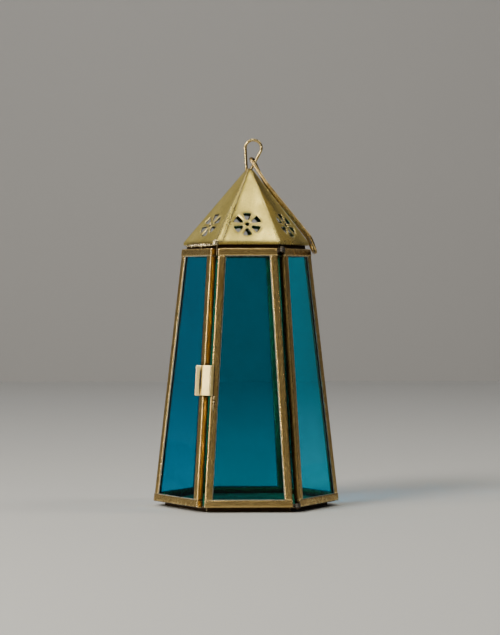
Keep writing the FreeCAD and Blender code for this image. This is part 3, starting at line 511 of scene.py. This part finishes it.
# A near-black bead lies in the crease as painted shade.
crease_shade_finish = rough_finish("painted shade in the crease", 900.0, 4.0, (0.006, 0.004, 0.002),
                             (0.03, 0.018, 0.008), metallic=0.0, roughness=0.75, relief=0.0)
latch_joint = [joint for joint in frame["joints"] if joint["name"] == "latch_flex"][0]
up_corner = Vector(latch_joint["axis"])
fold = Vector(latch_joint["pos_m"])
crease = fold + Vector((-6.15, 5.45, 0.0)) * MM
CREASE_SHADE_START = 74.6 * MM
CREASE_SHADE_STEP = 0.6 * MM
rough_bead("latch_crease_shade", [crease + up_corner * (CREASE_SHADE_START + CREASE_SHADE_STEP * step) for step in range(32)],
           0.75 * MM, 0.25, "latch", crease_shade_finish)

foot_low, foot_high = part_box("latch_foot")
under_foot = Vector((foot_high[0] - 0.3 * MM, foot_low[1] + 0.8 * MM, foot_low[2]))
SOLDER_STEP = 0.35 * MM
rough_bead("latch_solder", [under_foot + up_corner * (0.5 - step) * SOLDER_STEP for step in range(30)],
           0.75 * MM, 1.1, "door", brass_solder)

# --- Stage, lights and camera -------------------------------------------------------------
# A pale floor, a grey backdrop and soft boxes. The key is at the front left, and the small dim
# boxes are what the roof's faces, the ridges and the channels' bends reflect.

def stage_plane(name, place, turn, finish_name, colour, roughness):
    """A large plain sheet of the studio, which isn't part of the lantern."""
    bpy.ops.mesh.primitive_plane_add(size=6, location=place, rotation=turn)
    plane = bpy.context.object
    plane.name = name
    paint = bpy.data.materials.new(finish_name)
    paint.use_nodes = True
    paint.node_tree.nodes["Principled BSDF"].inputs["Base Color"].default_value = (*colour, 1)
    paint.node_tree.nodes["Principled BSDF"].inputs["Roughness"].default_value = roughness
    plane.data.materials.append(paint)


stage_plane("stage_floor", (0, 0, 0), (0, 0, 0), "pale floor", (0.62, 0.62, 0.61), 0.7)
stage_plane("stage_backdrop", (0, 2.2, 1.5), (math.radians(90), 0, 0), "grey backdrop",
            (0.50, 0.49, 0.48), 0.9)

world = bpy.data.worlds.new("studio")
bpy.context.scene.world = world
world.use_nodes = True
world.node_tree.nodes["Background"].inputs["Color"].default_value = (0.85, 0.88, 0.95, 1)
world.node_tree.nodes["Background"].inputs["Strength"].default_value = 0.07


def soft_box(name, place, aim, width, height, power, colour):
    """A rectangular studio light that hangs at a place and looks at the lantern."""
    lamp = bpy.data.lights.new(name, "AREA")
    lamp.shape = "RECTANGLE"
    lamp.size = width
    lamp.size_y = height
    lamp.energy = power
    lamp.color = colour
    thing = bpy.data.objects.new(name, lamp)
    thing.location = place
    thing.rotation_euler = (Vector(aim) - Vector(place)).to_track_quat("-Z", "Y").to_euler()
    bpy.context.collection.objects.link(thing)


MIDDLE = (0, 0, 0.13)
soft_box("key", (-0.9, -1.0, 1.1), MIDDLE, 0.45, 0.45, 22.0, (1.0, 0.95, 0.86))
soft_box("overhead", (-0.08, -0.35, 1.25), MIDDLE, 0.14, 0.5, 1.7, (1.0, 0.96, 0.82))
soft_box("left_wall", (-1.5, 0.9, 0.4), MIDDLE, 0.9, 0.6, 0.2, (0.95, 0.97, 1.0))
soft_box("left_strip", (-1.35, -0.75, 0.32), MIDDLE, 0.16, 0.9, 15.0, (1.0, 0.93, 0.78))
soft_box("left_high", (-1.2, 1.4, 1.25), MIDDLE, 1.0, 0.7, 1.0, (1.0, 0.96, 0.8))
soft_box("ridge_light", (0.75, 0.0, 1.15), MIDDLE, 0.3, 0.5, 3.5, (1.0, 0.96, 0.82))
soft_box("right_high", (1.2, 1.4, 1.2), MIDDLE, 0.8, 0.6, 0.08, (1.0, 0.66, 0.38))
soft_box("right_wall", (1.4, 0.8, 0.35), MIDDLE, 0.5, 0.6, 0.08, (1.0, 0.8, 0.62))
soft_box("front_fill", (0.0, -2.1, 0.55), MIDDLE, 1.6, 1.2, 0.6, (1.0, 0.94, 0.84))
soft_box("backdrop_light", (-0.2, 0.6, 2.2), (0, 2.2, 0.5), 1.6, 0.5, 14.0, (1.0, 0.99, 0.97))

camera = bpy.data.objects.new("camera", bpy.data.cameras.new("camera"))
bpy.context.collection.objects.link(camera)
DISTANCE = 1.525
BEARING = math.radians(-1.7)
EYE_LEVEL = 0.1425
AIM = Vector((0.0026, 0, 0.1279))
camera.location = (DISTANCE * math.sin(BEARING), -DISTANCE * math.cos(BEARING), EYE_LEVEL)
camera.rotation_euler = (AIM - camera.location).to_track_quat("-Z", "Y").to_euler()
camera.data.sensor_width = 36.0
camera.data.lens = 127.0
bpy.context.scene.camera = camera
